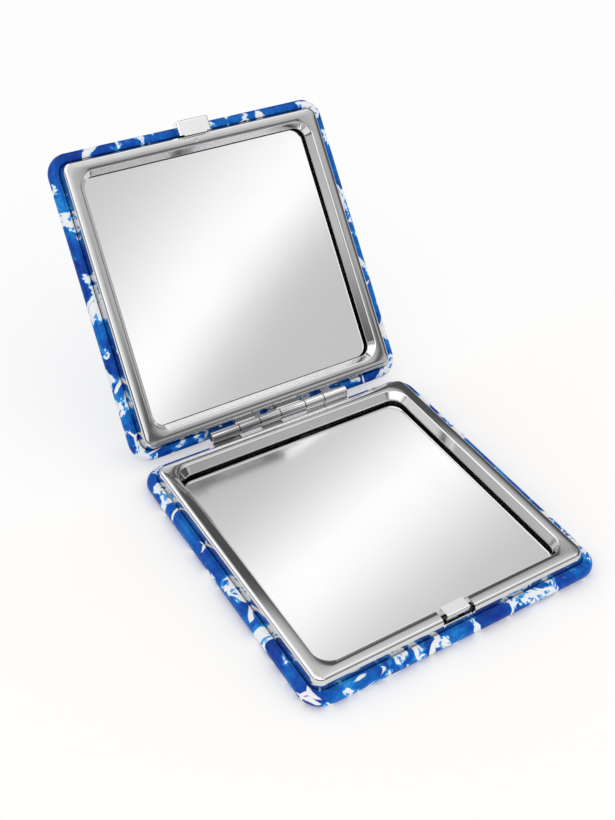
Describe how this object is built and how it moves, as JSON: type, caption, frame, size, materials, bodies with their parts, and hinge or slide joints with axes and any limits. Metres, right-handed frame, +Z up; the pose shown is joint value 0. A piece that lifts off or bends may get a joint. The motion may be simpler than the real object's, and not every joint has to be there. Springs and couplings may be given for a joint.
{
  "type": "compact mirror",
  "caption": "Square folding compact mirror standing open: printed covers, polished frames round two mirrors, a knuckle hinge and a snap clasp.",
  "frame": {"origin": "middle of the base's flat underside", "axes": "+X along the hinge to the right, +Y from the free edge to the hinge, +Z up from the table"},
  "size_m": [0.065, 0.1075, 0.0564],
  "materials": {
    "printed_cover": "printed, high gloss lacquer",
    "polished_frame": "polished plating",
    "mirror_glass": "back-silvered glass",
    "hinge_metal": "polished plating",
    "catch_metal": "polished plating",
    "rivet_metal": "plain",
    "spring_steel": "plain",
    "backing_board": "grey board",
    "foam_tape": "foam"
  },
  "bodies": {
    "base": {"base_cover": "printed_cover", "base_frame": "polished_frame", "base_backing_board": "backing_board", "base_mirror_tape": "foam_tape", "base_mirror": "mirror_glass", "base_hinge_leaf": "hinge_metal", "base_hinge_rivets": "rivet_metal", "hinge_pin": "hinge_metal", "catch_guide": "spring_steel", "catch_spring": "spring_steel"},
    "catch": {"catch_hook": "catch_metal"},
    "lid": {"lid_cover": "printed_cover", "lid_frame": "polished_frame", "lid_backing_board": "backing_board", "lid_mirror_tape": "foam_tape", "lid_mirror": "mirror_glass", "lid_hinge_leaf": "hinge_metal", "lid_hinge_rivets": "rivet_metal", "lid_clasp": "catch_metal", "lid_clasp_rivets": "rivet_metal"}
  },
  "joints": [
    {"name": "lid_hinge", "type": "hinge", "parent": "base", "child": "lid", "pos_m": [0, 0.03205, 0.0047], "axis": [-1, 0, 0], "range_deg": [-128, 32]},
    {"name": "catch_slide", "type": "slide", "parent": "base", "child": "catch", "axis": [0, 1, 0], "range_m": [0, 0.0004], "stiffness_N_per_m": 2000, "deforming": ["catch_spring"]}
  ]
}
